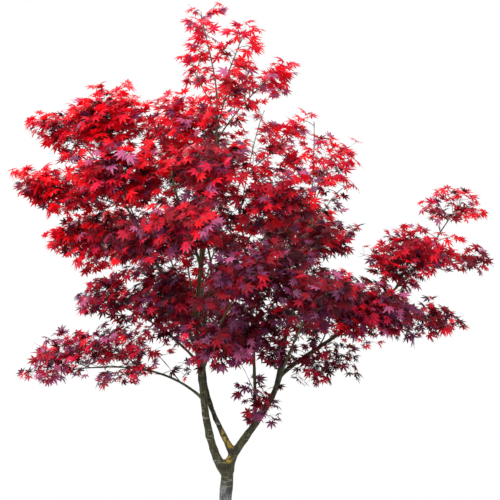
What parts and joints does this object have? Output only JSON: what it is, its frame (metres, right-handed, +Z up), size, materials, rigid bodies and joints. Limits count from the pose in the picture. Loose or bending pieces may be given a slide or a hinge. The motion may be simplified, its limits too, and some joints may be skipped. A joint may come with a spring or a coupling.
{
  "type": "japanese maple tree",
  "caption": "Young Japanese maple in red leaf: a short trunk that forks low, fanned boughs and layered sprays of palmate leaves, rooted in the ground.",
  "frame": {"origin": "centre of the flat cut under the trunk, on the ground", "axes": "+Z up, +X to the right and +Y to the back as seen in the picture"},
  "size_m": [2.0959, 1.4027, 2.4163],
  "materials": {
    "bark": "matt grey-brown bark",
    "foliage": "matt red to maroon leaves"
  },
  "bodies": {
    "root": {"trunk": "bark", "leftStem": "bark", "rightStem": "bark", "middleStem": "bark", "leader": "bark", "leftRiser": "bark", "innerLeftBough": "bark", "lowLeftBough": "bark", "leftSkirtBough": "bark", "centreStem": "bark", "rightBough": "bark", "rightArm": "bark", "rightRiser": "bark", "frontLowBough": "bark", "frontHighBough": "bark", "frontRightBough": "bark", "backLowBough": "bark", "backLeftBough": "bark", "backHighBough": "bark", "backRightBough": "bark", "spireTipFoliage": "foliage", "spireRightFoliage": "foliage", "spireLeftFoliage": "foliage", "shoulderRightFoliage": "foliage", "shoulderFrontFoliage": "foliage", "shoulderBackFoliage": "foliage", "crownLeftInFoliage": "foliage", "crownLeftMidFoliage": "foliage", "crownLeftOutFoliage": "foliage", "leftOutFoliage": "foliage", "leftInFoliage": "foliage", "leftLowOutFoliage": "foliage", "leftLowInFoliage": "foliage", "leftSkirtOutFoliage": "foliage", "leftSkirtInFoliage": "foliage", "lowLeftOutFoliage": "foliage", "lowLeftInFoliage": "foliage", "heartHighFoliage": "foliage", "heartMidFoliage": "foliage", "heartLowFoliage": "foliage", "skirtFrontFoliage": "foliage", "rightTopInFoliage": "foliage", "rightTopOutFoliage": "foliage", "rightMidInFoliage": "foliage", "rightMidOutFoliage": "foliage", "rightMidLowFoliage": "foliage", "rightFrontFoliage": "foliage", "centreSkirtFoliage": "foliage", "rightSkirtFoliage": "foliage", "rightLowMidFoliage": "foliage", "rightLowOutFoliage": "foliage", "armLowFoliage": "foliage", "armOutFoliage": "foliage", "armTopFoliage": "foliage", "stemSprayFoliage": "foliage", "backLowFoliage": "foliage", "backLeftFoliage": "foliage", "backTopFoliage": "foliage", "backRightFoliage": "foliage", "backRightLowFoliage": "foliage"}
  },
  "joints": []
}
